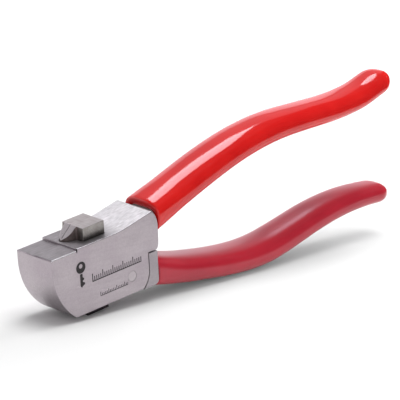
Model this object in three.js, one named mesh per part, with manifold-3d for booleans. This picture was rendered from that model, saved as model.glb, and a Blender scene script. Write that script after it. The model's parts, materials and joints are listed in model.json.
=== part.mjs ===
// Hand key-cutting pliers. A V-nosed punch slides through a steel head; the lower handle is a lever
// on a cross pin, and its forked tongue lifts and lowers the punch by a pin through it.
//
// Millimetres. Everything is drawn in the head's own frame (+X from the nose back to the handles,
// +Y across, +Z up) with the tool closed, and the whole group is then tilted to stand on the
// punch's foot and the lower grip, with the origin under the middle of its box.

import * as THREE from 'three';
import { mergeVertices } from 'three/addons/utils/BufferGeometryUtils.js';
import Module from 'manifold-3d';

const wasm = await Module();
wasm.setup();

// ---- driving dimensions -------------------------------------------------------------------------

const STAND_TILT = THREE.MathUtils.degToRad(7.23); // how far the head leans back when it stands
const HEAD_WIDTH = 22;
const HALF_HEAD = HEAD_WIDTH / 2;
const GAP = 0.3; // between neighbours that almost touch
const SLIP = 0.1; // between a pin and its hole
const PIN_RECESS = 0.05; // a cross pin ends this far below the head's side
const CLEAR = 30; // reach of a cutter that passes right through

// Head outline, side view
const FOOT_FRONT = 12.6; // sharp corner where the nose curve meets the flat bottom
const NOSE_TOP = 26; // the nose curve starts here and the front is plumb above it
const EDGE_BREAK = 0.5; // chamfer on the front's top edge
const TABLE_Z = 30.35; // near half of the front table
const TABLE_DROP = 0.4; // the far half lies this much lower
const STEP_X = 14.7;
const PLATEAU_Z = 31.1;
const SADDLE = { start: 36.5, end: 43.5, rise: 0.62 }; // hollow between the plateau and the back slope
const BACK_TOP = { x: 59.4, z: 34.45, round: 0.6 };
const REAR = { x: 62.9, shelfEnd: 61.5, low: 21, high: 26.5 }; // plumb rear face, rounded below and above
const SHELF_Z = 16; // underside of the head's back part, over the lever's root

// Pivot and lever
const PIVOT = { x: 46, z: 8.2, pin: 2.4, bushing: 3.5, shim: 5.6, shimThick: 0.4 };
const JOINT = { radius: 10.5, gap: 0.35, plumbInset: 0.12 }; // round joint line behind the pivot
const TONGUE_HALF = 4;
const SLOT_HALF = 4.6;
const ROOT = { back: 62, foot: -0.4, footRound: 2.4, topRound: 1.2 };

// Punch
const PUNCH = { front: 22.8, back: 35.2, half: 6.55, foot: -3.8, top: 36.95 };
const NOSE = {
  tip: 16.4, flat: 0.05, side: 1.1, half: 3.45, straight: 21, fillet: 1, point: 1.6, belly: 0.55,
};
const NOSE_EDGE_Z = 30.4; // cutting edge of the nose, below the plateau when closed
const NOSE_GUIDE = { low: 2, high: 26.2 }; // lower nose, below the throat that the key lies in
const NOSE_LOW_Z = 31.55; // height of the sloping nose top at its tip
const CENTRE_LINE = { half: 0.12, depth: 0.25 }; // scored along the sloping top
const PUNCH_SLOT = { front: 25.2, low: 0.3, high: 12.6, half: 4.3 };
const DRIVE = { x: 29, z: 6.41, pin: 1.9, roller: 2.75, play: 0.15 };

// Stop pin over the tongue, blind on the near side, and the grub screw that sets the closed stop
const STOP = { x: 38, z: 15.75, radius: 1.5, near: -7 };
const SCREW = { x: 59.3, radius: 1.5, end: 1.1, point: 0.4, length: 6, socket: 0.75, socketDepth: 2.2 };
const SCREW_TOP = SHELF_Z - 0.15;

// Handles: centre lines in side view, and superellipse sections
const UPPER_LINE = [
  [58, 27.3], [83, 34.9], [103.2, 40.7], [123.7, 45], [144.3, 46.8],
  [165.1, 45.9], [186, 44.5], [206.7, 45.4], [226, 50.8],
];
const LOWER_LINE = [
  [58, 5.9], [77.2, -0.8], [96.9, -5.6], [116.7, -9.4], [136.5, -10.7],
  [156.2, -8.1], [176, -5.2], [196, -4.7], [215.8, -6.8], [222.6, -8.1],
];
const UPPER_MOUTH_X = 63.7; // the sleeves end square to the head, where the dip stopped
const LOWER_MOUTH_X = 62.4;
const UPPER_HALF_HEIGHTS = [7, 6.7, 6.35, 5.8, 5.5]; // evenly spaced from the mouth to the tip
const LOWER_HALF_HEIGHTS = [7.2, 6.2, 6.35, 5.8, 4.7];
const GRIP_HALF_WIDTHS = [10.95, 10.95, 10.4, 9.5, 8.3];
const GRIP = { squareness: 2.4, cap: 9, steps: 22 };
const CORE = { halfHeight: 3.2, halfWidth: 7.4, squareness: 4, short: 12, blunt: 0.35, steps: 18 };
const CAP_TURNS = [0.3, 0.55, 0.75, 0.9, 0.985]; // where the sections of a rounded end lie

const SIDES = 28; // round a grip or a core
const ROUND = 40; // round a pin
const ARC_STEPS = 14; // along a curve of an outline

// ---- materials ----------------------------------------------------------------------------------

function finish(color, roughness, metalness) {
  return new THREE.MeshStandardMaterial({ color, roughness, metalness });
}

const headSteel = () => finish(0xb9b5ba, 0.38, 0.9);
const punchSteel = () => finish(0x8f8b82, 0.42, 0.9);
const pinSteel = () => finish(0xa8a8aa, 0.3, 0.95);
const bronze = () => finish(0xb08a4a, 0.4, 0.9);
const redVinyl = () => finish(0xc8202a, 0.22, 0);

// ---- solids -------------------------------------------------------------------------------------

function solid(geometry) {
  const bare = geometry.clone();
  bare.deleteAttribute('normal');
  bare.deleteAttribute('uv');
  const merged = mergeVertices(bare, 1e-4);
  return new wasm.Manifold(new wasm.Mesh({
    numProp: 3,
    vertProperties: new Float32Array(merged.attributes.position.array),
    triVerts: new Uint32Array(merged.index.array),
  }));
}

function closedGeometry(vertices, triangles) {
  const geometry = new THREE.BufferGeometry();
  geometry.setAttribute('position', new THREE.BufferAttribute(new Float32Array(vertices), 3));
  geometry.setIndex(new THREE.BufferAttribute(new Uint32Array(triangles), 1));
  return geometry;
}

function meshOf(name, body, material) {
  const { vertProperties, triVerts } = body.getMesh();
  const geometry = closedGeometry(vertProperties, triVerts);
  geometry.computeVertexNormals();
  const mesh = new THREE.Mesh(geometry, material);
  mesh.name = name;
  return mesh;
}

function extruded(outline, depth) {
  return new THREE.ExtrudeGeometry(outline, { depth, bevelEnabled: false, curveSegments: ARC_STEPS });
}

// A side-view outline (shape x, y = head x, z) given thickness from y = low to y = high
function slab(outline, low, high) {
  return solid(extruded(outline, high - low).rotateX(Math.PI / 2).translate(0, high, 0));
}

// A plan-view outline raised from z = low to z = high
function post(outline, low, high) {
  return solid(extruded(outline, high - low).translate(0, 0, low));
}

function block(x0, x1, y0, y1, z0, z1) {
  const geometry = new THREE.BoxGeometry(x1 - x0, y1 - y0, z1 - z0);
  return solid(geometry.translate((x0 + x1) / 2, (y0 + y1) / 2, (z0 + z1) / 2));
}

// A round bar along Y
function bar(x, z, radius, y0, y1) {
  const geometry = new THREE.CylinderGeometry(radius, radius, y1 - y0, ROUND);
  return solid(geometry.translate(x, (y0 + y1) / 2, z));
}

// A round tube along Y
function sleeve(x, z, inner, outer, y0, y1) {
  return bar(x, z, outer, y0, y1).subtract(bar(x, z, inner, y0 - 1, y1 + 1));
}

function polygon(points) {
  return new THREE.Shape(points.map(([x, y]) => new THREE.Vector2(x, y)));
}

function circle(x, y, radius) {
  return new THREE.Shape().absarc(x, y, radius, 0, 2 * Math.PI, false);
}

// ---- handle lofts -------------------------------------------------------------------------------

function handleCurve(line) {
  const points = line.map(([x, z]) => new THREE.Vector3(x, 0, z));
  return new THREE.CatmullRomCurve3(points, false, 'centripetal');
}

// A value along a row of evenly spaced ones, at fraction u
function tapered(values, u) {
  const spot = THREE.MathUtils.clamp(u, 0, 1) * (values.length - 1);
  const cell = Math.min(Math.floor(spot), values.length - 2);
  return THREE.MathUtils.lerp(values[cell], values[cell + 1], spot - cell);
}

// One ring of a superellipse section, square to the curve at arc fraction u
function ring(curve, u, halfHeight, halfWidth, squareness) {
  const centre = curve.getPointAt(u);
  const along = curve.getTangentAt(u);
  const up = new THREE.Vector3(-along.z, 0, along.x);
  const across = new THREE.Vector3(0, 1, 0);
  const squared = (value) => Math.sign(value) * Math.abs(value) ** (2 / squareness);
  const points = [];
  for (let i = 0; i < SIDES; i += 1) {
    const angle = (i / SIDES) * 2 * Math.PI;
    const point = centre.clone();
    point.addScaledVector(up, halfHeight * squared(Math.sin(angle)));
    point.addScaledVector(across, halfWidth * squared(Math.cos(angle)));
    points.push(point);
  }
  return points;
}

function middleOf(points) {
  const sum = points.reduce((total, point) => total.add(point), new THREE.Vector3());
  return sum.divideScalar(points.length);
}

// Skins a row of rings and closes both ends with a fan
function loft(rings) {
  const lastRow = (rings.length - 1) * SIDES;
  const firstHub = lastRow + SIDES;
  const lastHub = firstHub + 1;
  const vertices = [...rings.flat(), middleOf(rings[0]), middleOf(rings[rings.length - 1])];
  const faces = [];
  for (let i = 0; i < SIDES; i += 1) {
    const next = (i + 1) % SIDES;
    faces.push(firstHub, next, i);
    faces.push(lastHub, lastRow + i, lastRow + next);
    for (let a = 0; a < lastRow; a += SIDES) {
      const b = a + SIDES;
      faces.push(a + i, a + next, b + next);
      faces.push(a + i, b + next, b + i);
    }
  }
  return solid(closedGeometry(vertices.flatMap((point) => point.toArray()), faces));
}

// Arc fractions from the curve's start to a rounded end at arc length stop
function stations(curve, stop, cap, steps) {
  const even = Array.from({ length: steps + 1 }, (_, i) => (stop - cap) * (i / steps));
  const crowded = CAP_TURNS.map((turn) => stop - cap + cap * Math.sin(turn * Math.PI / 2));
  return [...even, ...crowded].map((length) => length / curve.getLength());
}

// How much a section has shrunk at arc fraction u, inside a rounded end
function endScale(curve, u, stop, cap) {
  const into = THREE.MathUtils.clamp((u * curve.getLength() - (stop - cap)) / cap, 0, 1);
  return Math.sqrt(1 - into * into);
}

function gripRings(curve, halfHeights) {
  const stop = curve.getLength();
  return stations(curve, stop, GRIP.cap, GRIP.steps).map((u) => {
    const scale = endScale(curve, u, stop, GRIP.cap);
    const halfHeight = tapered(halfHeights, u) * scale;
    const halfWidth = tapered(GRIP_HALF_WIDTHS, u) * scale;
    return ring(curve, u, halfHeight, halfWidth, GRIP.squareness);
  });
}

// The flat steel bar inside a grip, grown by extra all round
function coreRings(curve, extra) {
  const stop = curve.getLength() - CORE.short + extra;
  return stations(curve, stop, CORE.halfHeight, CORE.steps).map((u) => {
    const scale = Math.max(endScale(curve, u, stop, CORE.halfHeight), CORE.blunt);
    const halfHeight = (CORE.halfHeight + extra) * scale;
    const halfWidth = (CORE.halfWidth + extra) * scale;
    return ring(curve, u, halfHeight, halfWidth, CORE.squareness);
  });
}

// A vinyl sleeve: outer skin from the mouth to the rounded end, hollow for the core
function grip(curve, halfHeights, mouthX) {
  const outer = loft(gripRings(curve, halfHeights));
  const hollow = loft(coreRings(curve, GAP));
  const ahead = block(0, mouthX, -CLEAR, CLEAR, -CLEAR, 2 * CLEAR);
  return outer.subtract(ahead).subtract(hollow);
}

// ---- punch --------------------------------------------------------------------------------------

// Plan outline of the V nose, grown by extra; it runs back into the punch's block
function noseOutline(extra) {
  const { side, straight, fillet, point, belly } = NOSE;
  const front = PUNCH.front - extra;
  const tip = NOSE.tip - extra;
  const wide = NOSE.half + extra;
  const flank = new THREE.Path();
  flank.moveTo(front + fillet, wide);
  flank.lineTo(front, wide + fillet);
  flank.quadraticCurveTo(front, wide, front - fillet, wide);
  flank.lineTo(straight, wide);
  flank.quadraticCurveTo(tip + point, wide - belly, tip, NOSE.flat + extra / 2);
  const far = flank.getPoints(ARC_STEPS);
  const near = far.toReversed();
  return polygon([
    ...far.map(({ x, y }) => [x, side + y]),
    ...near.map(({ x, y }) => [x, side - y]),
  ]);
}

// Everything above the nose's sloping top, as a wedge to cut away
function aboveNose(slope) {
  const { front, top } = PUNCH;
  const ahead = NOSE.tip - 2;
  return slab(polygon([
    [front, top],
    [front, top + CLEAR],
    [ahead, top + CLEAR],
    [ahead, top - (front - ahead) * Math.tan(slope)],
  ]), -HALF_HEAD, HALF_HEAD);
}

// The scored line along the sloping top
function centreLine(slope) {
  const { front, top } = PUNCH;
  const { half, depth } = CENTRE_LINE;
  const level = block(NOSE.tip - front - 1, 0, NOSE.side - half, NOSE.side + half, -depth, 1);
  return level.rotate([0, THREE.MathUtils.radToDeg(-slope), 0]).translate([front, 0, top]);
}

function punchSolid() {
  const { front, back, half, foot, top } = PUNCH;
  const slope = Math.atan2(top - NOSE_LOW_Z, front - NOSE.tip);
  const slot = PUNCH_SLOT;
  const beak = post(noseOutline(0), NOSE_EDGE_Z, top).subtract(aboveNose(slope));
  return block(front, back, -half, half, foot, top)
    .add(beak)
    .add(post(noseOutline(0), NOSE_GUIDE.low, NOSE_GUIDE.high))
    .subtract(block(slot.front, back + 1, -slot.half, slot.half, slot.low, slot.high))
    .subtract(bar(DRIVE.x, DRIVE.z, DRIVE.pin + SLIP, -HALF_HEAD, HALF_HEAD))
    .subtract(centreLine(slope));
}

// ---- head ---------------------------------------------------------------------------------------

function headOutline() {
  const noseRadius = (NOSE_TOP ** 2 + FOOT_FRONT ** 2) / (2 * FOOT_FRONT);
  const noseFoot = Math.atan2(-NOSE_TOP, FOOT_FRONT - noseRadius);
  const cheekReach = Math.sqrt(JOINT.radius ** 2 - PIVOT.z ** 2);
  const cheekFoot = Math.atan2(-PIVOT.z, cheekReach);
  const plumb = JOINT.radius - JOINT.plumbInset;
  const plumbAngle = -Math.acos(plumb / JOINT.radius);
  const saddleMiddle = (SADDLE.start + SADDLE.end) / 2;
  const outline = new THREE.Shape();
  outline.moveTo(FOOT_FRONT, 0);
  outline.lineTo(PIVOT.x + cheekReach, 0);
  outline.absarc(PIVOT.x, PIVOT.z, JOINT.radius, cheekFoot, plumbAngle, false);
  outline.lineTo(PIVOT.x + plumb, SHELF_Z);
  outline.lineTo(REAR.shelfEnd, SHELF_Z);
  outline.quadraticCurveTo(REAR.x, SHELF_Z + BACK_TOP.round, REAR.x, REAR.low);
  outline.lineTo(REAR.x, REAR.high);
  outline.quadraticCurveTo(REAR.x, PLATEAU_Z, BACK_TOP.x + BACK_TOP.round, BACK_TOP.z - BACK_TOP.round / 3);
  outline.lineTo(BACK_TOP.x, BACK_TOP.z);
  outline.lineTo(SADDLE.end, PLATEAU_Z + SADDLE.rise);
  outline.quadraticCurveTo(saddleMiddle, PLATEAU_Z, SADDLE.start, PLATEAU_Z);
  outline.lineTo(STEP_X, PLATEAU_Z);
  outline.lineTo(STEP_X, TABLE_Z);
  outline.lineTo(EDGE_BREAK, TABLE_Z);
  outline.lineTo(0, TABLE_Z - EDGE_BREAK);
  outline.lineTo(0, NOSE_TOP);
  outline.absarc(noseRadius, NOSE_TOP, noseRadius, Math.PI, 2 * Math.PI + noseFoot, false);
  return outline;
}

function punchHole() {
  const { front, back, half } = PUNCH;
  const bore = block(front - GAP, back + GAP, -half - GAP, half + GAP, -CLEAR, 2 * CLEAR);
  return bore.add(post(noseOutline(GAP), -CLEAR, 2 * CLEAR));
}

function headSolid(curve) {
  const farTable = block(-1, STEP_X, 0, CLEAR, TABLE_Z - TABLE_DROP, CLEAR + TABLE_Z);
  const tongueSlot = block(PUNCH.back, ROOT.back + CLEAR, -SLOT_HALF, SLOT_HALF, -CLEAR, SHELF_Z);
  return slab(headOutline(), -HALF_HEAD, HALF_HEAD)
    .add(loft(coreRings(curve, 0)))
    .subtract(farTable)
    .subtract(tongueSlot)
    .subtract(punchHole())
    .subtract(bar(PIVOT.x, PIVOT.z, PIVOT.pin + SLIP, -CLEAR, CLEAR))
    .subtract(bar(STOP.x, STOP.z, STOP.radius + SLIP, STOP.near - SLIP, CLEAR));
}

// ---- lever --------------------------------------------------------------------------------------

function rootOutline() {
  const { back, foot, footRound, topRound } = ROOT;
  const radius = JOINT.radius + JOINT.gap;
  const top = SHELF_Z - JOINT.gap;
  const plumb = radius - JOINT.plumbInset;
  const footReach = Math.sqrt(radius ** 2 - (PIVOT.z - foot) ** 2);
  const footAngle = Math.atan2(foot - PIVOT.z, footReach);
  const outline = new THREE.Shape();
  outline.moveTo(PIVOT.x + footReach, foot);
  outline.lineTo(back - footRound, foot);
  outline.quadraticCurveTo(back, foot, back, foot + footRound);
  outline.lineTo(back, top - topRound);
  outline.quadraticCurveTo(back, top, back - topRound, top);
  outline.lineTo(PIVOT.x + plumb, top);
  outline.absarc(PIVOT.x, PIVOT.z, radius, -Math.acos(plumb / radius), footAngle, true);
  return outline;
}

// The tongue reaches forward into the punch's slot; its tip leans back below, to clear it when raised
function tongueOutline() {
  return polygon([
    [27.4, 1.7],
    [36, 2.3],
    [47, 0.8],
    [58, ROOT.foot],
    [58, SHELF_Z - JOINT.gap],
    [52, 15.2],
    [46, 14.3],
    [36, 12],
    [26.1, 10.9],
  ]);
}

// The open fork at the tongue's tip, which holds the drive roller
function forkBay() {
  const { x, z, roller, play } = DRIVE;
  const half = roller + play;
  const mouth = block(x - CLEAR, x, -CLEAR, CLEAR, z - half, z + half);
  return bar(x, z, half, -CLEAR, CLEAR).add(mouth);
}

function leverSolid(curve) {
  return slab(rootOutline(), -HALF_HEAD, HALF_HEAD)
    .add(slab(tongueOutline(), -TONGUE_HALF, TONGUE_HALF))
    .add(loft(coreRings(curve, 0)))
    .subtract(forkBay())
    .subtract(bar(PIVOT.x, PIVOT.z, PIVOT.bushing + SLIP, -CLEAR, CLEAR))
    .subtract(post(circle(SCREW.x, 0, SCREW.radius + SLIP), -CLEAR, CLEAR));
}

// ---- closing screw --------------------------------------------------------------------------------

// A grub screw standing on end, pointed above, with a hexagon socket below
function screwSolid() {
  const { x, radius, end, point, length, socket, socketDepth } = SCREW;
  const low = SCREW_TOP - length;
  const profile = [
    [0, low],
    [end, low],
    [radius, low + point],
    [radius, SCREW_TOP - point],
    [end, SCREW_TOP],
    [0, SCREW_TOP],
  ];
  const turned = new THREE.LatheGeometry(profile.map(([r, z]) => new THREE.Vector2(r, z)), ROUND);
  const hexagon = Array.from({ length: 6 }, (_, i) => [
    x + socket * Math.cos(i * Math.PI / 3),
    socket * Math.sin(i * Math.PI / 3),
  ]);
  return solid(turned.rotateX(Math.PI / 2).translate(x, 0, 0))
    .subtract(post(polygon(hexagon), low - 1, low + socketDepth));
}

// ---- assembly -----------------------------------------------------------------------------------

const upperCurve = handleCurve(UPPER_LINE);
const lowerCurve = handleCurve(LOWER_LINE);

function pivotShim(name, side) {
  const middle = side * (TONGUE_HALF + SLOT_HALF) / 2;
  const half = PIVOT.shimThick / 2;
  const washer = sleeve(PIVOT.x, PIVOT.z, PIVOT.pin + SLIP, PIVOT.shim, middle - half, middle + half);
  return meshOf(name, washer, bronze());
}

function headParts() {
  const pinEnd = HALF_HEAD - PIN_RECESS;
  const group = new THREE.Group();
  group.add(
    meshOf('head_body', headSolid(upperCurve), headSteel()),
    meshOf('upper_grip', grip(upperCurve, UPPER_HALF_HEIGHTS, UPPER_MOUTH_X), redVinyl()),
    meshOf('pivot_pin', bar(PIVOT.x, PIVOT.z, PIVOT.pin, -pinEnd, pinEnd), pinSteel()),
    meshOf('stop_pin', bar(STOP.x, STOP.z, STOP.radius, STOP.near, pinEnd), pinSteel()),
    pivotShim('pivot_shim_near', -1),
    pivotShim('pivot_shim_far', 1),
  );
  return group;
}

function leverParts() {
  const bushing = sleeve(PIVOT.x, PIVOT.z, PIVOT.pin + SLIP, PIVOT.bushing, -TONGUE_HALF, TONGUE_HALF);
  const group = new THREE.Group();
  group.add(
    meshOf('lever', leverSolid(lowerCurve), headSteel()),
    meshOf('lower_grip', grip(lowerCurve, LOWER_HALF_HEIGHTS, LOWER_MOUTH_X), redVinyl()),
    meshOf('pivot_bushing', bushing, bronze()),
    meshOf('closing_screw', screwSolid(), pinSteel()),
  );
  return group;
}

function punchParts() {
  const { x, z, pin, roller, play } = DRIVE;
  const pinHalf = PUNCH.half - SLIP;
  const rollerHalf = PUNCH_SLOT.half - play;
  const group = new THREE.Group();
  group.add(
    meshOf('punch', punchSolid(), punchSteel()),
    meshOf('drive_pin', bar(x, z, pin, -pinHalf, pinHalf), pinSteel()),
    meshOf('drive_roller', sleeve(x, z, pin + SLIP, roller, -rollerHalf, rollerHalf), pinSteel()),
  );
  return group;
}

const tool = new THREE.Group();
tool.add(headParts(), leverParts(), punchParts());
tool.rotation.y = -STAND_TILT;
tool.updateMatrixWorld(true);

const box = new THREE.Box3().setFromObject(tool, true);
const middle = box.getCenter(new THREE.Vector3());
tool.position.set(-middle.x, -middle.y, -box.min.z);
tool.updateMatrixWorld(true);

export default tool;
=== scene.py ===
# Hand key-cutting pliers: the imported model's metal parts get broken edges and ground or plated steel,
# and the two handle sleeves are rebuilt as smooth dipped vinyl. Metres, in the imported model's frame.
# The light is split: some lamps reach only glossy rays and some only matt ones.
import json
import math

import bmesh
import bpy
import numpy as np
from mathutils import Matrix, Vector
from mathutils.bvhtree import BVHTree

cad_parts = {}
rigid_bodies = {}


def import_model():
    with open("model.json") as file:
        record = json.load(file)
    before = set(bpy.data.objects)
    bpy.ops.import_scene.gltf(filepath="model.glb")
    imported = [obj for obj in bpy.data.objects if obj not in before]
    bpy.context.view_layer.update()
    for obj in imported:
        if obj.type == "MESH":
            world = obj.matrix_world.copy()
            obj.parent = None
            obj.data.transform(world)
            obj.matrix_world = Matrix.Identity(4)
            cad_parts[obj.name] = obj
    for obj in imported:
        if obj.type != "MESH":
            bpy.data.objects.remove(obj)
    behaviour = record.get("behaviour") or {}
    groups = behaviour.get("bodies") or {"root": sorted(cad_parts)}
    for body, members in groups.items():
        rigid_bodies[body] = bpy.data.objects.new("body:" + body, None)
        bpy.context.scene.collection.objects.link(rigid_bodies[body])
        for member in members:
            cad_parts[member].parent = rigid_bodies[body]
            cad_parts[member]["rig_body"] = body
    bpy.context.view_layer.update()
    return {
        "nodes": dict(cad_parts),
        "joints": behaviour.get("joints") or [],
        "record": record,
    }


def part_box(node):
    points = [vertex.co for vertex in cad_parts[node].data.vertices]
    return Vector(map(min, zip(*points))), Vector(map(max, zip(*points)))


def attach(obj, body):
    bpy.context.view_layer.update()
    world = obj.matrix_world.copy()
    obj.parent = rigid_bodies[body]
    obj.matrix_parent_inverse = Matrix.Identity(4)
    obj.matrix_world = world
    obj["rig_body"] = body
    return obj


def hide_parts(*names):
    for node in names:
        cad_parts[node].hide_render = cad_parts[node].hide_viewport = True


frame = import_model()

MM = 0.001
JOINTS = {joint["name"]: joint for joint in frame["joints"]}
PIVOT = Vector(JOINTS["handle_hinge"]["pos_m"])
HEAD_UP = Vector(JOINTS["punch_slide"]["axis"])
HEAD_BACK = Vector((HEAD_UP.z, 0, -HEAD_UP.x))
ACROSS = Vector((0, 1, 0))

# Rows are the head's own axes, so this takes a point to millimetres back, across and up from the pivot
TO_HEAD = Matrix((HEAD_BACK, ACROSS, HEAD_UP))
TILT = math.atan2(HEAD_UP.x, HEAD_UP.z)
HALF_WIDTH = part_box("head_body")[1].y

# Places on the head, in millimetres from the pivot along its own axes
TABLE_END = -31.3  # the step up from the table
TABLE_HEIGHT = 22.15
TOP_START = 20  # the lowest point of the ground top
SADDLE_END = 13.5
PIN_HOLE = 3
CORE_START = 17.2  # behind this the steel is inside the sleeves


def in_head(point):
    """Millimetres from the pivot along the head's own axes."""
    return TO_HEAD @ (Vector(point) - PIVOT) / MM


def from_head(back, across, up):
    return PIVOT + (back * HEAD_BACK + across * ACROSS + up * HEAD_UP) * MM


# ---- camera, floor and light --------------------------------------------------------------------

AIM = Vector((-0.012876, 0, 0.037823))
DISTANCE = 1.2112
AZIMUTH = math.radians(46.04)
ELEVATION = math.radians(16.40)
ROLL = math.radians(2.78)
LENS = 242.32
ROOM_MATT = 0.5
ROOM_GLOSS = 0.13
FLAG = {"azimuth": -38, "distance": 0.27, "half_width": 0.5, "height": 0.5}


def towards(azimuth, elevation):
    """Unit vector from the object, azimuth turning from -Y towards -X."""
    level = math.cos(elevation)
    return Vector((-math.sin(azimuth) * level, -math.cos(azimuth) * level, math.sin(elevation)))


def make_camera():
    data = bpy.data.cameras.new("camera")
    data.lens = LENS
    data.clip_start = 0.01
    data.clip_end = 50
    camera = bpy.data.objects.new("camera", data)
    bpy.context.scene.collection.objects.link(camera)
    back = towards(AZIMUTH, ELEVATION)
    look = (-back).to_track_quat("-Z", "Y").to_matrix()
    roll = Matrix.Rotation(ROLL, 3, "Z")
    camera.matrix_world = Matrix.Translation(AIM + back * DISTANCE) @ (look @ roll).to_4x4()
    bpy.context.scene.camera = camera


def area_light(name, azimuth, elevation, distance, size, radiance, tint=(1, 1, 1), seen_in="both"):
    """A soft box facing the object, azimuth turning from +X towards +Y, in degrees.

    seen_in says whether it lights the "gloss" alone, the "matt" shading and the shadows alone, or both.
    """
    data = bpy.data.lights.new(name, "AREA")
    data.shape = "RECTANGLE"
    data.size, data.size_y = size
    data.color = tint
    data.energy = radiance * math.pi * size[0] * size[1]
    light = bpy.data.objects.new(name, data)
    bpy.context.scene.collection.objects.link(light)
    turn, lift = math.radians(azimuth), math.radians(elevation)
    way = Vector((math.cos(lift) * math.cos(turn), math.cos(lift) * math.sin(turn), math.sin(lift)))
    light.location = way * distance
    light.rotation_mode = "QUATERNION"
    light.rotation_quaternion = way.to_track_quat("Z", "Y")
    light.visible_camera = False
    light.visible_glossy = seen_in != "matt"
    light.visible_diffuse = seen_in != "gloss"
    return light


def make_world():
    """A dim room all round, which the camera itself sees as a white backdrop."""
    world = bpy.data.worlds.new("studio")
    bpy.context.scene.world = world
    world.use_nodes = True
    nodes, links = world.node_tree.nodes, world.node_tree.links
    rays = nodes.new("ShaderNodeLightPath")
    level = nodes.new("ShaderNodeMix")
    level.inputs["A"].default_value = ROOM_MATT
    level.inputs["B"].default_value = ROOM_GLOSS
    links.new(rays.outputs["Is Glossy Ray"], level.inputs["Factor"])
    backdrop = nodes.new("ShaderNodeMix")
    backdrop.inputs["B"].default_value = 1
    links.new(rays.outputs["Is Camera Ray"], backdrop.inputs["Factor"])
    links.new(level.outputs["Result"], backdrop.inputs["A"])
    links.new(backdrop.outputs["Result"], nodes["Background"].inputs["Strength"])
    nodes["Background"].inputs["Color"].default_value = (1, 1, 1, 1)


def make_flag():
    """A black card across the far floor on the right, met by reflections alone."""
    mesh = bpy.data.meshes.new("flag")
    turn = math.radians(FLAG["azimuth"])
    out = Vector((math.cos(turn), math.sin(turn), 0)) * FLAG["distance"]
    side = Vector((-math.sin(turn), math.cos(turn), 0)) * FLAG["half_width"]
    rise = Vector((0, 0, FLAG["height"]))
    mesh.from_pydata([out - side, out + side, out + side + rise, out - side + rise], [], [(0, 1, 2, 3)])
    flag = bpy.data.objects.new("flag", mesh)
    bpy.context.scene.collection.objects.link(flag)
    cloth = bpy.data.materials.new("flag_black")
    cloth.use_nodes = True
    cloth.node_tree.nodes["Principled BSDF"].inputs["Base Color"].default_value = (0.02, 0.02, 0.02, 1)
    cloth.node_tree.nodes["Principled BSDF"].inputs["Roughness"].default_value = 1
    flag.data.materials.append(cloth)
    for ray in ("camera", "diffuse", "shadow", "transmission", "volume_scatter"):
        setattr(flag, "visible_" + ray, False)


def make_floor():
    mesh = bpy.data.meshes.new("floor")
    mesh.from_pydata([(-6, -6, 0), (6, -6, 0), (6, 6, 0), (-6, 6, 0)], [], [(0, 1, 2, 3)])
    floor = bpy.data.objects.new("floor", mesh)
    bpy.context.scene.collection.objects.link(floor)
    paint = bpy.data.materials.new("floor_white")
    paint.use_nodes = True
    shader = paint.node_tree.nodes["Principled BSDF"]
    shader.inputs["Base Color"].default_value = (0.86, 0.86, 0.86, 1)
    shader.inputs["Roughness"].default_value = 0.9
    shader.inputs["Specular IOR Level"].default_value = 0.1
    floor.data.materials.append(paint)


# ---- materials ----------------------------------------------------------------------------------


class Shader:
    """A Principled material under construction."""

    def __init__(self, name, **constants):
        self.material = bpy.data.materials.new(name)
        self.material.use_nodes = True
        self.tree = self.material.node_tree
        self.surface = self.tree.nodes["Principled BSDF"]
        for socket, value in constants.items():
            self.surface.inputs[socket.replace("_", " ")].default_value = value
        self.where = self.tree.nodes.new("ShaderNodeTexCoord").outputs["Object"]

    def link(self, output, target):
        self.tree.links.new(output, target)

    def noise(self, scale, stretch=(1, 1, 1), detail=3.0, turn=0.0):
        """Noise from 0 to 1, with scale features a metre, stretched along the axes."""
        mapping = self.tree.nodes.new("ShaderNodeMapping")
        mapping.inputs["Scale"].default_value = tuple(scale / s for s in stretch)
        mapping.inputs["Rotation"].default_value = (0, turn, 0)
        self.link(self.where, mapping.inputs["Vector"])
        texture = self.tree.nodes.new("ShaderNodeTexNoise")
        texture.inputs["Scale"].default_value = 1
        texture.inputs["Detail"].default_value = detail
        self.link(mapping.outputs["Vector"], texture.inputs["Vector"])
        return texture.outputs["Fac"]

    def part(self, axis):
        """One coordinate, in metres, of the place on the surface."""
        node = self.tree.nodes.new("ShaderNodeSeparateXYZ")
        self.link(self.where, node.inputs["Vector"])
        return node.outputs[axis]

    def spread(self, factor, low, high, start=0.3, end=0.7):
        """A value from low to high as factor goes from start to end."""
        node = self.tree.nodes.new("ShaderNodeMapRange")
        node.inputs["From Min"].default_value = start
        node.inputs["From Max"].default_value = end
        node.inputs["To Min"].default_value = low
        node.inputs["To Max"].default_value = high
        self.link(factor, node.inputs["Value"])
        return node.outputs["Result"]

    def blend(self, factor, first, second):
        """Colour first or second by factor; each is a colour or an output."""
        node = self.tree.nodes.new("ShaderNodeMix")
        node.data_type = "RGBA"
        self.link(factor, node.inputs["Factor"])
        for socket, value in ((node.inputs[6], first), (node.inputs[7], second)):
            if isinstance(value, bpy.types.NodeSocket):
                self.link(value, socket)
            else:
                socket.default_value = (*value, 1)
        return node.outputs[2]

    def colour(self, output):
        self.link(output, self.surface.inputs["Base Color"])

    def roughness(self, output):
        self.link(output, self.surface.inputs["Roughness"])

    def bump(self, height, distance):
        """Relief of this depth in metres, under any relief already there."""
        node = self.tree.nodes.new("ShaderNodeBump")
        node.inputs["Strength"].default_value = 1
        node.inputs["Distance"].default_value = distance
        self.link(height, node.inputs["Height"])
        earlier = self.surface.inputs["Normal"].links
        if earlier:
            self.link(earlier[0].from_socket, node.inputs["Normal"])
        self.link(node.outputs["Normal"], self.surface.inputs["Normal"])


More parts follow.
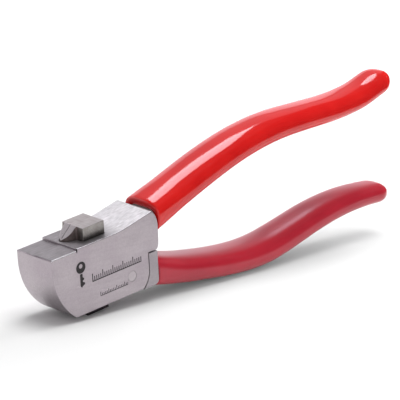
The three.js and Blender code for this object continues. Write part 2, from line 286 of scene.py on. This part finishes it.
SLOPE_HIGHLIGHT = (-18, -5)  # the painted highlight on the slope of the ground top fades in between these
EDGE_HIGHLIGHT_RIM = (0.45, 0.75)  # the painted highlight strip along the table's near rim fades out between these distances from the near side
EDGE_HIGHLIGHT_FADE = 0.2


def plated_steel(name, low, high):
    """Satin nickel over ground steel: fine grain along the head, faint cloudy patches and specks."""
    shader = Shader(name, Metallic=1.0)
    clouds = shader.noise(70, detail=4)
    grain = shader.noise(900, stretch=(14, 1, 1), detail=4, turn=-TILT)
    specks = shader.noise(1500, detail=3)
    tone = shader.blend(shader.spread(clouds, 0, 1), low, high)
    tone = shader.blend(shader.spread(specks, 0, 0.3), tone, tuple(0.72 * part for part in low))
    shader.colour(shader.blend(shader.spread(grain, 0, 0.18), tone, tuple(0.82 * part for part in low)))
    shader.roughness(shader.spread(grain, 0.27, 0.40))
    shader.bump(grain, 0.000004)
    return shader.material


def ground_steel():
    """The bare ground top of the head: darker steel round the punch, a lighter base colour painted on the
    slope behind it as a highlight for the key light it reflects, and a painted highlight along the table's
    near rim.
    """
    shader = Shader("ground_steel", Metallic=0.78)
    clouds = shader.noise(160, detail=4)
    grain = shader.noise(1100, stretch=(16, 1, 1), detail=5, turn=-TILT)
    slope_highlight_start, slope_highlight_end = (from_head(back, 0, 0).x for back in SLOPE_HIGHLIGHT)
    along = shader.spread(shader.part(0), 0, 1, slope_highlight_start, slope_highlight_end)
    dark = shader.blend(shader.spread(clouds, 0, 1), (0.205, 0.19, 0.197), (0.275, 0.26, 0.265))
    # painted highlight: the slope behind the punch gets a lighter base colour, standing in for the key
    # light it reflects
    bright = shader.blend(shader.spread(clouds, 0, 1), (0.53, 0.525, 0.525), (0.63, 0.62, 0.62))
    tone = shader.blend(along, dark, bright)
    # painted highlight: near-white along the table's near rim, broken by the grain
    edge_highlight = shader.blend(shader.spread(grain, 0, 0.6), (0.95, 0.94, 0.95), tone)
    table_end = from_head(TABLE_END, 0, 0).x
    on_table = shader.spread(shader.part(0), 1, 0, table_end - EDGE_HIGHLIGHT_FADE * MM, table_end)
    rim = shader.blend(on_table, tone, edge_highlight)
    inner, outer = (width * MM - HALF_WIDTH for width in EDGE_HIGHLIGHT_RIM)
    tone = shader.blend(shader.spread(shader.part(1), 1, 0, inner, outer), tone, rim)
    shader.colour(shader.blend(shader.spread(grain, 0, 0.35), tone, (0.13, 0.12, 0.12)))
    shader.roughness(shader.spread(grain, 0.38, 0.52))
    shader.bump(grain, 0.000006)
    return shader.material


def edge_highlight_steel():
    """Painted highlight on the near edge of the table and the saddle: near-white metal standing in for the
    glint of light along that edge.
    """
    shader = Shader("edge_highlight_steel", Metallic=1.0)
    grain = shader.noise(1500, detail=4)
    shader.colour(shader.blend(shader.spread(grain, 0, 1), (0.80, 0.79, 0.80), (0.97, 0.96, 0.97)))
    shader.roughness(shader.spread(grain, 0.40, 0.55))
    shader.bump(grain, 0.000004)
    return shader.material


FOOT_SHADE_HEIGHTS = (0.006, 0.007)  # the punch is painted near-black below this height over the floor, painted shade for the dark contact shadow its foot reflects


def punch_steel():
    """Hardened tool steel, ground after hardening: warm grey with fine grinding lines."""
    shader = Shader("punch_steel", Metallic=1.0)
    clouds = shader.noise(260, detail=4)
    grain = shader.noise(1400, stretch=(1, 12, 1), detail=4)
    tone = shader.blend(shader.spread(clouds, 0, 1), (0.33, 0.305, 0.293), (0.43, 0.405, 0.395))
    tone = shader.blend(shader.spread(grain, 0, 0.3), tone, (0.20, 0.175, 0.155))
    # painted shade: the foot near the floor turns near-black
    scale = shader.spread(shader.part(2), 1, 0, *FOOT_SHADE_HEIGHTS)
    shader.colour(shader.blend(scale, tone, (0.035, 0.028, 0.032)))
    shader.roughness(shader.spread(grain, 0.30, 0.44))
    shader.bump(grain, 0.000005)
    return shader.material


def flank_shade_steel():
    """The milled flanks of the beak and the block's front face, painted dark as the shade in those
    hollows.
    """
    shader = Shader("flank_shade_steel", Metallic=0.6)
    clouds = shader.noise(420, detail=5)
    shader.colour(shader.blend(shader.spread(clouds, 0, 1), (0.12, 0.088, 0.086), (0.22, 0.175, 0.17)))
    shader.roughness(shader.spread(clouds, 0.45, 0.6))
    shader.bump(clouds, 0.00001)
    return shader.material


def pin_steel():
    shader = Shader("pin_steel", Metallic=1.0)
    grain = shader.noise(1600, stretch=(1, 1, 8), detail=3)
    shader.colour(shader.blend(shader.spread(grain, 0, 1), (0.46, 0.46, 0.47), (0.58, 0.58, 0.59)))
    shader.roughness(shader.spread(grain, 0.2, 0.34))
    shader.bump(grain, 0.000003)
    return shader.material


def bearing_bronze():
    shader = Shader("bearing_bronze", Metallic=1.0)
    clouds = shader.noise(500, detail=4)
    shader.colour(shader.blend(shader.spread(clouds, 0, 1), (0.50, 0.32, 0.13), (0.66, 0.46, 0.22)))
    shader.roughness(shader.spread(clouds, 0.3, 0.45))
    shader.bump(clouds, 0.000005)
    return shader.material


def etched_black():
    """Laser-blackened floor of the mark on the side."""
    shader = Shader("etched_black", Metallic=0.3)
    grain = shader.noise(2600, detail=3)
    shader.colour(shader.blend(shader.spread(grain, 0, 1), (0.012, 0.010, 0.011), (0.05, 0.042, 0.045)))
    shader.roughness(shader.spread(grain, 0.5, 0.7))
    shader.bump(grain, 0.00001)
    return shader.material


def red_vinyl(name, deep, bright, polish, sheen=(1, 1, 1, 1)):
    """Dipped vinyl from a deep to a bright red, with the slow ripple that dipping leaves."""
    shader = Shader(name, Metallic=0.0, IOR=1.52, Specular_Tint=sheen)
    clouds = shader.noise(45, detail=2)
    fine = shader.noise(1500, detail=2)
    ripple = shader.noise(55, stretch=(2, 1, 1), detail=1)
    shader.colour(shader.blend(shader.spread(clouds, 0, 1), deep, bright))
    shader.roughness(shader.spread(fine, *polish))
    shader.bump(fine, 0.0000005)
    shader.bump(ripple, 0.00003)
    return shader.material


# ---- metal parts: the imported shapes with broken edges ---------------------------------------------

SHARP = math.radians(28)


def link(name, mesh):
    piece = bpy.data.objects.new(name, mesh)
    bpy.context.scene.collection.objects.link(piece)
    return piece


def settle(piece):
    """Makes what the modifiers give the piece's own mesh."""
    graph = bpy.context.evaluated_depsgraph_get()
    mesh = bpy.data.meshes.new_from_object(piece.evaluated_get(graph))
    piece.modifiers.clear()
    piece.data = mesh
    return piece


def smooth(piece):
    """Smooth shading that stays flat on the flat faces."""
    for face in piece.data.polygons:
        face.use_smooth = True
    piece.data.set_sharp_from_angle(angle=SHARP)
    weighted = piece.modifiers.new("weighted", "WEIGHTED_NORMAL")
    weighted.keep_sharp = True
    weighted.weight = 100
    return settle(piece)


def broken_edges(name, node, width, share=None):
    """The node's shape, its facets joined into whole faces and every sharp edge broken.

    The width is in millimetres, and share(edge) says how much of it an edge gets.
    """
    body = bmesh.new()
    body.from_mesh(frame["nodes"][node].data)
    bmesh.ops.remove_doubles(body, verts=body.verts, dist=0.002 * MM)
    bmesh.ops.dissolve_limit(body, angle_limit=math.radians(0.4), verts=body.verts, edges=body.edges)
    weight = body.edges.layers.float.new("bevel_weight_edge")
    for edge in body.edges:
        shown = all(in_head(vertex.co).x < CORE_START for vertex in edge.verts)
        if shown and edge.calc_face_angle(0) > SHARP:
            edge[weight] = share(edge) if share else 1.0
    mesh = bpy.data.meshes.new(name)
    body.to_mesh(mesh)
    body.free()
    mesh.materials.clear()
    piece = link(name, mesh)
    bevel = piece.modifiers.new("bevel", "BEVEL")
    bevel.limit_method = "WEIGHT"
    bevel.width = width * MM
    bevel.segments = 3
    bevel.use_clamp_overlap = False
    return settle(piece)


def stands_for(piece, node):
    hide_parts(node)
    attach(piece, frame["nodes"][node]["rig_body"])
    return piece




def side_share(edge):
    """The whole width on the outline of the near and far sides, little of it round the pin."""
    if any(abs(vertex.co.y) < HALF_WIDTH - 0.01 * MM for vertex in edge.verts):
        return 0.4
    round_pin = all(in_head(vertex.co).xz.length < PIN_HOLE for vertex in edge.verts)
    return 0.15 if round_pin else 1.0


# ---- cut in the near side: an etched key, two tick rules and the notch at the step --------------

ETCH_DEPTH = 0.1
NOTCH = {"half": 0.35, "shoulder": 0.3, "tip": 1.2, "rise": 1, "depth": 0.45}
KEY_CENTRE = (-29.6, 10.6)
RULE = {"start": -23.4, "pitch": 1.2, "count": 25, "foot": 5.6, "short": 2.0, "long": 3.4, "line": 0.5}
FINE_RULE = {
    "start": -19.2, "pitch": 0.95, "count": 18, "foot": -2.6, "short": 1.0, "long": 1.7, "line": 0.34,
}


def prism(body, outer, inner=None, depth=ETCH_DEPTH):
    """A closed prism through the near side; loops are (back, up) in millimetres from the pivot."""
    near = HALF_WIDTH / MM
    loops = [loop for loop in (outer, inner) if loop]
    levels = [
        [[body.verts.new(from_head(back, across, up)) for back, up in loop] for loop in loops]
        for across in (-near - 1, -near + depth)
    ]
    for level in levels:
        if inner:
            for index, vertex in enumerate(level[0]):
                after = (index + 1) % len(outer)
                body.faces.new((vertex, level[0][after], level[1][after], level[1][index]))
        else:
            body.faces.new(level[0])
    for first, second in zip(levels[0], levels[1]):
        for index, vertex in enumerate(first):
            after = (index + 1) % len(first)
            body.faces.new((vertex, first[after], second[after], second[index]))


def bar_loop(low_back, high_back, low_up, high_up):
    return [(low_back, low_up), (high_back, low_up), (high_back, high_up), (low_back, high_up)]


def circle_loop(back, up, radius, count=28):
    turns = [2 * math.pi * index / count for index in range(count)]
    return [(back + radius * math.cos(turn), up + radius * math.sin(turn)) for turn in turns]


def notch_loop():
    """The small V in the near edge, where the table steps up."""
    low, high = TABLE_END - NOTCH["half"], TABLE_END + NOTCH["half"]
    shoulder, open_end = TABLE_HEIGHT - NOTCH["shoulder"], TABLE_HEIGHT + NOTCH["rise"]
    tip = (TABLE_END, TABLE_HEIGHT - NOTCH["tip"])
    return [(low, open_end), (low, shoulder), tip, (high, shoulder), (high, open_end)]


def mark_cutter(etched):
    body = bmesh.new()
    back, up = KEY_CENTRE
    prism(body, circle_loop(back, up + 3.3, 2.7), circle_loop(back, up + 3.9, 1.0))
    prism(body, [
        (back - 0.75, up + 0.35), (back - 0.75, up - 5.2), (back, up - 6.1), (back + 0.75, up - 5.4),
        (back + 1.9, up - 4.9), (back + 1.9, up - 4.1), (back + 0.75, up - 3.6), (back + 0.75, up - 3.0),
        (back + 1.5, up - 2.6), (back + 1.5, up - 1.9), (back + 0.75, up - 1.4), (back + 0.75, up + 0.35),
    ])
    # the notch's walls take the near-black of the etched mark, painted shade in the notch
    prism(body, notch_loop(), depth=NOTCH["depth"])
    for rule in (RULE, FINE_RULE):
        end = rule["start"] + rule["pitch"] * (rule["count"] - 1) + rule["line"]
        prism(body, bar_loop(rule["start"], end, rule["foot"] - rule["line"], rule["foot"] - 0.02))
        for index in range(rule["count"]):
            tick = rule["start"] + rule["pitch"] * index
            tall = rule["long"] if index % 5 == 0 else rule["short"]
            prism(body, bar_loop(tick, tick + rule["line"], rule["foot"] + 0.02, rule["foot"] + tall))
    bmesh.ops.recalc_face_normals(body, faces=body.faces)
    mesh = bpy.data.meshes.new("mark_cutter")
    body.to_mesh(mesh)
    body.free()
    mesh.materials.append(etched)
    return link("mark_cutter", mesh)


def etch(piece, cutter):
    cut = piece.modifiers.new("etch", "BOOLEAN")
    cut.operation = "DIFFERENCE"
    cut.solver = "EXACT"
    cut.material_mode = "TRANSFER"
    cut.object = cutter
    settle(piece)
    bpy.data.objects.remove(cutter)


SLOPE_FACING = 0.75  # how nearly a face looks along the head's up to belong to its ground top
EDGE_HIGHLIGHT_FACING = 0.85
EDGE_HIGHLIGHT_WIDTH = 0.5


def head_slot(face):
    """0 plated, 1 ground, 2 near-white metal painted as the highlight along the near edge."""
    place, facing = in_head(face.center), face.normal.dot(HEAD_UP)
    if place.z < TOP_START or facing < 0.2:
        return 0
    if abs(face.normal.y) < 0.1 or abs(face.center.y) < HALF_WIDTH - EDGE_HIGHLIGHT_WIDTH * MM:
        return 1 if facing > SLOPE_FACING else 0
    # painted highlight: the near rim of the table and the up-facing near edge of the saddle get the
    # near-white edge metal
    if place.x < TABLE_END:
        return 2
    return 2 if place.x < SADDLE_END and facing > EDGE_HIGHLIGHT_FACING else 0


def make_head(steel, table, edge_highlight, etched):
    head = broken_edges("head", "head_body", 0.28, side_share)
    for material in (steel, table, edge_highlight):
        head.data.materials.append(material)
    for face in head.data.polygons:
        face.material_index = head_slot(face)
    etch(head, mark_cutter(etched))
    return stands_for(smooth(head), "head_body")


def make_lever(steel):
    lever = broken_edges("lever_bar", "lever", 0.28, side_share)
    lever.data.materials.append(steel)
    return stands_for(smooth(lever), "lever")


BEAK_START = 18  # millimetres over the pivot
BLOCK_HALF = 6.4
FRONT_SLACK = 0.1
UPRIGHT = 0.3


def make_punch(steel, scale, beak_top_highlight):
    punch = broken_edges("punch_body", "punch", 0.1)
    for material in (steel, scale, beak_top_highlight):
        punch.data.materials.append(material)
    front = min(in_head(v.co).x for v in punch.data.vertices if abs(v.co.y) > BLOCK_HALF * MM)
    for face in punch.data.polygons:
        place, facing = in_head(face.center), face.normal.dot(HEAD_UP)
        # painted shade: the upright faces of the beak and the block's front face take the dark flank steel
        # (slot 1)
        if place.x < front + FRONT_SLACK and place.z > BEAK_START:
            # painted highlight: the beak's top and under faces take the lighter plated steel (slot 2)
            face.material_index = 1 if abs(facing) < UPRIGHT else 2
    return stands_for(smooth(punch), "punch")


def make_small(node, material, width):
    piece = broken_edges(node + "_part", node, width)
    piece.data.materials.append(material)
    return stands_for(smooth(piece), node)


SMALL_PARTS = {
    "pivot_pin": 0.04, "stop_pin": 0.2, "drive_pin": 0.15, "drive_roller": 0.12, "closing_screw": 0.05,
    "pivot_shim_near": 0.05, "pivot_shim_far": 0.05, "pivot_bushing": 0.12,
}


# ---- handle sleeves -----------------------------------------------------------------------------

SLEEVE_SIDES = 72
SLEEVE_STEP = 1.6 * MM
TIP_LENGTH = 9 * MM
LIP = 0.9 * MM
FLARE = 0.35 * MM
LEAN_LENGTH = 20 * MM
SKIN_SQUARENESS = 2.4
MOUTH_SQUARENESS = 2.9
CORE_SQUARENESS = 4.0


def surface_of(node):
    mesh = frame["nodes"][node].data
    corners = [vertex.co for vertex in mesh.vertices]
    return BVHTree.FromPolygons(corners, [face.vertices for face in mesh.polygons])


class Sleeve:
    """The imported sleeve's centre line, half height and half width, measured and made smooth."""

    def __init__(self, node, core_node, stations=15):
        self.tree = surface_of(node)
        low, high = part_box(node)
        corners = [vertex.co for vertex in frame["nodes"][node].data.vertices]
        tip = max(corners, key=lambda corner: corner.x)
        self.mouth = min(in_head(corner).x for corner in corners)
        steps = np.linspace(low.x + 3 * MM, high.x - TIP_LENGTH - 1 * MM, stations)
        rows = [self.measure(x) for x in steps]
        self.rows = np.array(rows + [(tip.x, tip.z, *rows[-1][2:])])
        spans = np.hypot(*np.diff(self.rows[:, :2], axis=0).T)
        self.at = np.concatenate([[0], np.cumsum(spans)])
        self.slopes = np.gradient(self.rows, self.at, axis=0)
        self.length = self.at[-1]
        self.start = self.find(lambda point: in_head(point).x - self.mouth)
        core_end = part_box(core_node)[1].x + 0.3 * MM
        self.core_end = self.find(lambda point: point.x - core_end)
        self.core_size = self.measure_core()

    def measure(self, x):
        top = self.tree.ray_cast(Vector((x, 0, 1)), Vector((0, 0, -1)))[0]
        bottom = self.tree.ray_cast(Vector((x, 0, -1)), Vector((0, 0, 1)))[0]
        middle = (top.z + bottom.z) / 2
        side = self.tree.ray_cast(Vector((x, -1, middle)), ACROSS)[0]
        return x, middle, (top.z - bottom.z) / 2, abs(side.y)

    def measure_core(self):
        """Half height and half width of the hollow, a little way in."""
        centre, along, _, _ = self.section(self.start + LEAN_LENGTH)
        above = self.tree.ray_cast(centre, Vector((-along.z, 0, along.x)))[0]
        beside = self.tree.ray_cast(centre, ACROSS)[0]
        return (above - centre).length, (beside - centre).length

    def values(self, s):
        if s <= 0:
            return self.rows[0] + self.slopes[0] * s
        cell = min(int(np.searchsorted(self.at, s)) - 1, len(self.at) - 2)
        span = self.at[cell + 1] - self.at[cell]
        u = (s - self.at[cell]) / span
        first, second = self.rows[cell], self.rows[cell + 1]
        return (
            (2 * u**3 - 3 * u**2 + 1) * first
            + (u**3 - 2 * u**2 + u) * span * self.slopes[cell]
            + (3 * u**2 - 2 * u**3) * second
            + (u**3 - u**2) * span * self.slopes[cell + 1]
        )

    def section(self, s):
        """Centre, direction, half height square to it, and half width, at distance s along."""
        x, z, tall, wide = self.values(s)
        ahead, behind = self.values(s + 0.5 * MM), self.values(s - 0.5 * MM)
        along = Vector((ahead[0] - behind[0], 0, ahead[1] - behind[1])).normalized()
        return Vector((x, 0, z)), along, tall * along.x, wide

    def find(self, miss):
        """The distance along at which miss(centre) passes zero."""
        low, high = -10 * MM, self.length
        for _ in range(40):
            middle = (low + high) / 2
            x, z = self.values(middle)[:2]
            low, high = (middle, high) if miss(Vector((x, 0, z))) < 0 else (low, middle)
        return low

    def ring(self, s, tall, wide, squareness, lean):
        """A superellipse ring; lean 1 lays it parallel to the mouth, lean 0 square to the line."""
        centre, along, _, _ = self.section(s)
        up = Vector((-along.z, 0, along.x))
        points = []
        for index in range(SLEEVE_SIDES):
            angle = 2 * math.pi * index / SLEEVE_SIDES
            level, lift = math.cos(angle), math.sin(angle)
            out = up * tall * math.copysign(abs(lift) ** (2 / squareness), lift)
            out += ACROSS * wide * math.copysign(abs(level) ** (2 / squareness), level)
            slide = -HEAD_BACK.dot(out) / HEAD_BACK.dot(along)
            points.append(centre + out + along * slide * lean)
        return points

    def skin(self, s, inset=0.0, lean=0.0):
        _, _, tall, wide = self.section(s)
        into = max(0.0, min(1.0, (s - self.length + TIP_LENGTH) / TIP_LENGTH))
        scale = math.sqrt(1 - into**2)
        squareness = SKIN_SQUARENESS + (MOUTH_SQUARENESS - SKIN_SQUARENESS) * self.lean(s)
        return self.ring(s, tall * scale - inset, wide * scale - inset, squareness, lean)

    def lean(self, s):
        """The rings stand parallel to the mouth there and turn square to the line further on."""
        u = max(0.0, min(1.0, 1 - (s - self.start) / LEAN_LENGTH))
        return u * u * (3 - 2 * u)

    def hollow(self):
        """Rings of the hollow, from its far end to the mouth."""
        tall, wide = self.core_size
        stops = np.linspace(self.core_end, self.start + FLARE, 32)
        inner = [self.ring(s, tall, wide, CORE_SQUARENESS, self.lean(s)) for s in stops]
        flare = self.ring(self.start, tall + FLARE, wide + FLARE, CORE_SQUARENESS, 1)
        return inner + [flare]

    def outside(self):
        """Rings of the rolled lip and the skin, from the mouth to the tip."""
        rings = []
        for turn in np.linspace(90, 0, 7):
            roll = math.radians(turn)
            rings.append(self.skin(self.start + LIP * (1 - math.sin(roll)), LIP * (1 - math.cos(roll)), 1))
        first = self.start + LIP + SLEEVE_STEP
        last = self.length - TIP_LENGTH
        for s in np.linspace(first, last, round((last - first) / SLEEVE_STEP)):
            rings.append(self.skin(s, lean=self.lean(s)))
        for turn in np.linspace(6, 87, 16):
            rings.append(self.skin(last + TIP_LENGTH * math.sin(math.radians(turn))))
        return rings


def make_sleeve(name, node, core_node, vinyl):
    sleeve = Sleeve(node, core_node)
    rings = sleeve.hollow() + sleeve.outside()
    body = bmesh.new()
    rows = [[body.verts.new(point) for point in ring] for ring in rings]
    for first, second in zip(rows, rows[1:]):
        for index in range(SLEEVE_SIDES):
            after = (index + 1) % SLEEVE_SIDES
            body.faces.new((first[index], first[after], second[after], second[index]))
    for row in (rows[0], rows[-1]):
        hub = body.verts.new(sum((vertex.co for vertex in row), Vector()) / SLEEVE_SIDES)
        for index in range(SLEEVE_SIDES):
            body.faces.new((row[index], row[(index + 1) % SLEEVE_SIDES], hub))
    bmesh.ops.recalc_face_normals(body, faces=body.faces)
    mesh = bpy.data.meshes.new(name)
    body.to_mesh(mesh)
    body.free()
    for face in mesh.polygons:
        face.use_smooth = True
    mesh.materials.append(vinyl)
    piece = stands_for(link(name, mesh), node)
    piece.visible_diffuse = False
    return piece


# ---- the scene ----------------------------------------------------------------------------------


def make_lights():
    """Cards and a soft box for the gloss, then two lamps for the matt shading and the shadows."""
    cool, pale = (0.96, 0.93, 1.0), (0.97, 0.94, 1.0)
    area_light("key_softbox", 59, 65, 1.3, (0.54, 0.6), 7.4, cool, "gloss")
    area_light("back_card", 88, 16, 2.0, (5.4, 1.25), 1.15, pale, "gloss")
    area_light("back_sky", 70, 44, 1.9, (4.0, 0.9), 0.42, pale, "gloss")
    area_light("front_card", 224, 18, 2.2, (3.0, 1.3), 0.9, (0.98, 0.97, 1.0), "gloss")
    area_light("overhead", -60, 86, 1.8, (1.2, 1.2), 4.4, seen_in="matt")
    area_light("end_light", 8, 22, 1.5, (1.1, 0.55), 10, seen_in="matt")


def make_metal():
    steel = plated_steel("plated_steel", (0.43, 0.375, 0.41), (0.50, 0.45, 0.475))
    make_head(steel, ground_steel(), edge_highlight_steel(), etched_black())
    make_lever(plated_steel("lever_steel", (0.36, 0.32, 0.345), (0.42, 0.385, 0.405)))
    # painted highlight: a lighter copy of the plated steel for the beak's top faces, for the light they
    # catch
    beak_top_highlight = plated_steel("beak_top_highlight_steel", (0.62, 0.57, 0.58), (0.72, 0.67, 0.68))
    make_punch(punch_steel(), flank_shade_steel(), beak_top_highlight)
    pins, bronze = pin_steel(), bearing_bronze()
    pin_face = plated_steel("pin_face", (0.48, 0.43, 0.455), (0.57, 0.52, 0.54))
    for row in frame["record"]["subparts"]:
        node, slot = row["node"], row["material_slot"]
        if node in SMALL_PARTS:
            material = pin_face if node == "pivot_pin" else bronze if slot == "bronze" else pins
            make_small(node, material, SMALL_PARTS[node])


def make_sleeves():
    polished = red_vinyl("polished_vinyl", (0.64, 0.010, 0.010), (0.74, 0.016, 0.014), (0.08, 0.13))
    # painted shade: the lower sleeve is a darker copy of the same red vinyl, for the lesser light it gets;
    # it is also rougher, with cool-tinted reflections
    lower_shaded = red_vinyl(
        "lower_shaded_vinyl", (0.44, 0.012, 0.028), (0.53, 0.018, 0.036), (0.285, 0.30), (0.84, 0.9, 1, 1))
    make_sleeve("upper_sleeve", "upper_grip", "head_body", polished)
    make_sleeve("lower_sleeve", "lower_grip", "lever", lower_shaded)


make_camera()
make_world()
make_floor()
make_flag()
make_lights()
make_metal()
make_sleeves()

bpy.context.scene.view_settings.view_transform = "Standard"
